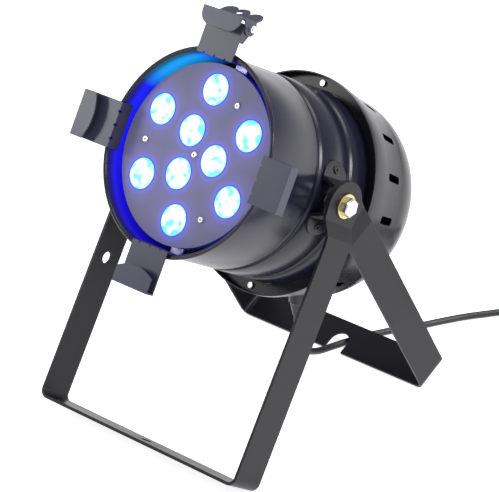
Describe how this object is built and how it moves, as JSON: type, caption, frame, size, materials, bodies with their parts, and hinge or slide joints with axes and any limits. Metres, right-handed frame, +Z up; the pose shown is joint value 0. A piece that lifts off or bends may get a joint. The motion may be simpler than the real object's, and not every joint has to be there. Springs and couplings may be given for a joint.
{
  "type": "par can stage light",
  "caption": "Short black LED par can on a double floor yoke, with recessed lenses, colour frame clips, vented round rear cover and mains lead",
  "frame": {"origin": "on the floor, in the middle of the lamp's footprint without its lead", "axes": "+Z up, the lamp faces -Y and tilts up about X, the lead leaves towards +Y and +X"},
  "size_m": [0.3807, 0.5001, 0.407],
  "materials": {
    "black_steel": "semi-gloss black powder coat on steel",
    "black_can": "semi-gloss black paint on aluminium sheet",
    "bright_zinc": "bright zinc plate",
    "yellow_zinc": "yellow passivated zinc plate",
    "fibre": "dark vulcanised fibre",
    "lead_sheath": "black flexible sheath, slightly glossy",
    "tie_strap": "black hook-and-loop strap",
    "plug_rubber": "moulded black plug",
    "pin_nickel": "nickel plated pins",
    "brass_hex": "turned brass",
    "board_green": "green circuit board with its parts",
    "bare_aluminium": "mill finish",
    "led_resin": "clear resin over blue emitters",
    "lens_clear": "clear moulded acrylic",
    "holder_black": "black moulded lens cup",
    "spring_steel": "spring wire",
    "smoked_window": "dark red tinted display window",
    "socket_black": "black moulded connector shell",
    "gland_black": "black moulded gland with rubber sleeve",
    "socket_tab": "release tab",
    "button_grey": "grey key cap"
  },
  "bodies": {
    "rear_yoke": {"rear_yoke": "black_steel", "pivot_bolts": "bright_zinc", "pivot_washers": "yellow_zinc", "pivot_nuts": "bright_zinc", "fibre_washers": "fibre", "cord_tube": "lead_sheath", "cord_coil": "lead_sheath", "cord_tie": "tie_strap", "plug_body": "plug_rubber", "plug_pins": "pin_nickel"},
    "front_yoke": {"front_yoke": "black_steel"},
    "can": {"can_barrel": "black_can", "face_plate": "black_can", "face_screws": "bright_zinc", "face_standoffs": "brass_hex", "led_board": "board_green", "heat_sink": "bare_aluminium", "led_emitters": "led_resin", "lens_1": "lens_clear", "lens_2": "lens_clear", "lens_3": "lens_clear", "lens_4": "lens_clear", "lens_5": "lens_clear", "lens_6": "lens_clear", "lens_7": "lens_clear", "lens_8": "lens_clear", "lens_9": "lens_clear", "lens_holder_1": "holder_black", "lens_holder_2": "holder_black", "lens_holder_3": "holder_black", "lens_holder_4": "holder_black", "lens_holder_5": "holder_black", "lens_holder_6": "holder_black", "lens_holder_7": "holder_black", "lens_holder_8": "holder_black", "lens_holder_9": "holder_black", "rear_cover": "black_can", "rear_cover_screws": "bright_zinc", "side_bracket_left": "black_steel", "side_bracket_right": "black_steel", "bracket_rivets": "black_steel", "gel_clip_left": "black_steel", "gel_clip_right": "black_steel", "gel_clip_bottom": "black_steel", "latch_bracket": "black_steel", "latch_pin": "bright_zinc", "latch_nut": "bright_zinc", "latch_spring": "spring_steel", "power_supply": "board_green", "control_board": "board_green", "display_window": "smoked_window", "dmx_input": "socket_black", "dmx_output": "socket_black", "cord_gland": "gland_black"},
    "latch": {"latch_clip": "black_steel"},
    "button_menu": {"button_menu": "button_grey"},
    "button_down": {"button_down": "button_grey"},
    "button_up": {"button_up": "button_grey"},
    "button_enter": {"button_enter": "button_grey"},
    "dmx_latch": {"dmx_latch": "socket_tab"}
  },
  "joints": [
    {"name": "can_tilt", "type": "hinge", "parent": "rear_yoke", "child": "can", "pos_m": [0, -0.00032, 0.2395], "axis": [1, 0, 0], "range_deg": [-58, 55], "deforming": ["cord_tube"]},
    {"name": "front_yoke_fold", "type": "hinge", "parent": "rear_yoke", "child": "front_yoke", "pos_m": [0, -0.00032, 0.2395], "axis": [1, 0, 0], "range_deg": [-60, 57.5]},
    {"name": "latch_hinge", "type": "hinge", "parent": "can", "child": "latch", "pos_m": [0, -0.01163, 0.39165], "axis": [1, 0, 0], "range_deg": [-65, 0], "stiffness_Nm_per_rad": 0.05, "springref_deg": 17.19},
    {"name": "button_menu_press", "type": "slide", "parent": "can", "child": "button_menu", "axis": [0, -0.849, 0.5284], "range_m": [0, 0.0008], "stiffness_N_per_m": 400, "springref_m": -0.0015},
    {"name": "button_down_press", "type": "slide", "parent": "can", "child": "button_down", "axis": [0, -0.849, 0.5284], "range_m": [0, 0.0008], "stiffness_N_per_m": 400, "springref_m": -0.0015},
    {"name": "button_up_press", "type": "slide", "parent": "can", "child": "button_up", "axis": [0, -0.849, 0.5284], "range_m": [0, 0.0008], "stiffness_N_per_m": 400, "springref_m": -0.0015},
    {"name": "button_enter_press", "type": "slide", "parent": "can", "child": "button_enter", "axis": [0, -0.849, 0.5284], "range_m": [0, 0.0008], "stiffness_N_per_m": 400, "springref_m": -0.0015},
    {"name": "dmx_latch_press", "type": "slide", "parent": "can", "child": "dmx_latch", "axis": [0, -0.849, 0.5284], "range_m": [0, 0.0015], "stiffness_N_per_m": 400, "springref_m": -0.002}
  ]
}
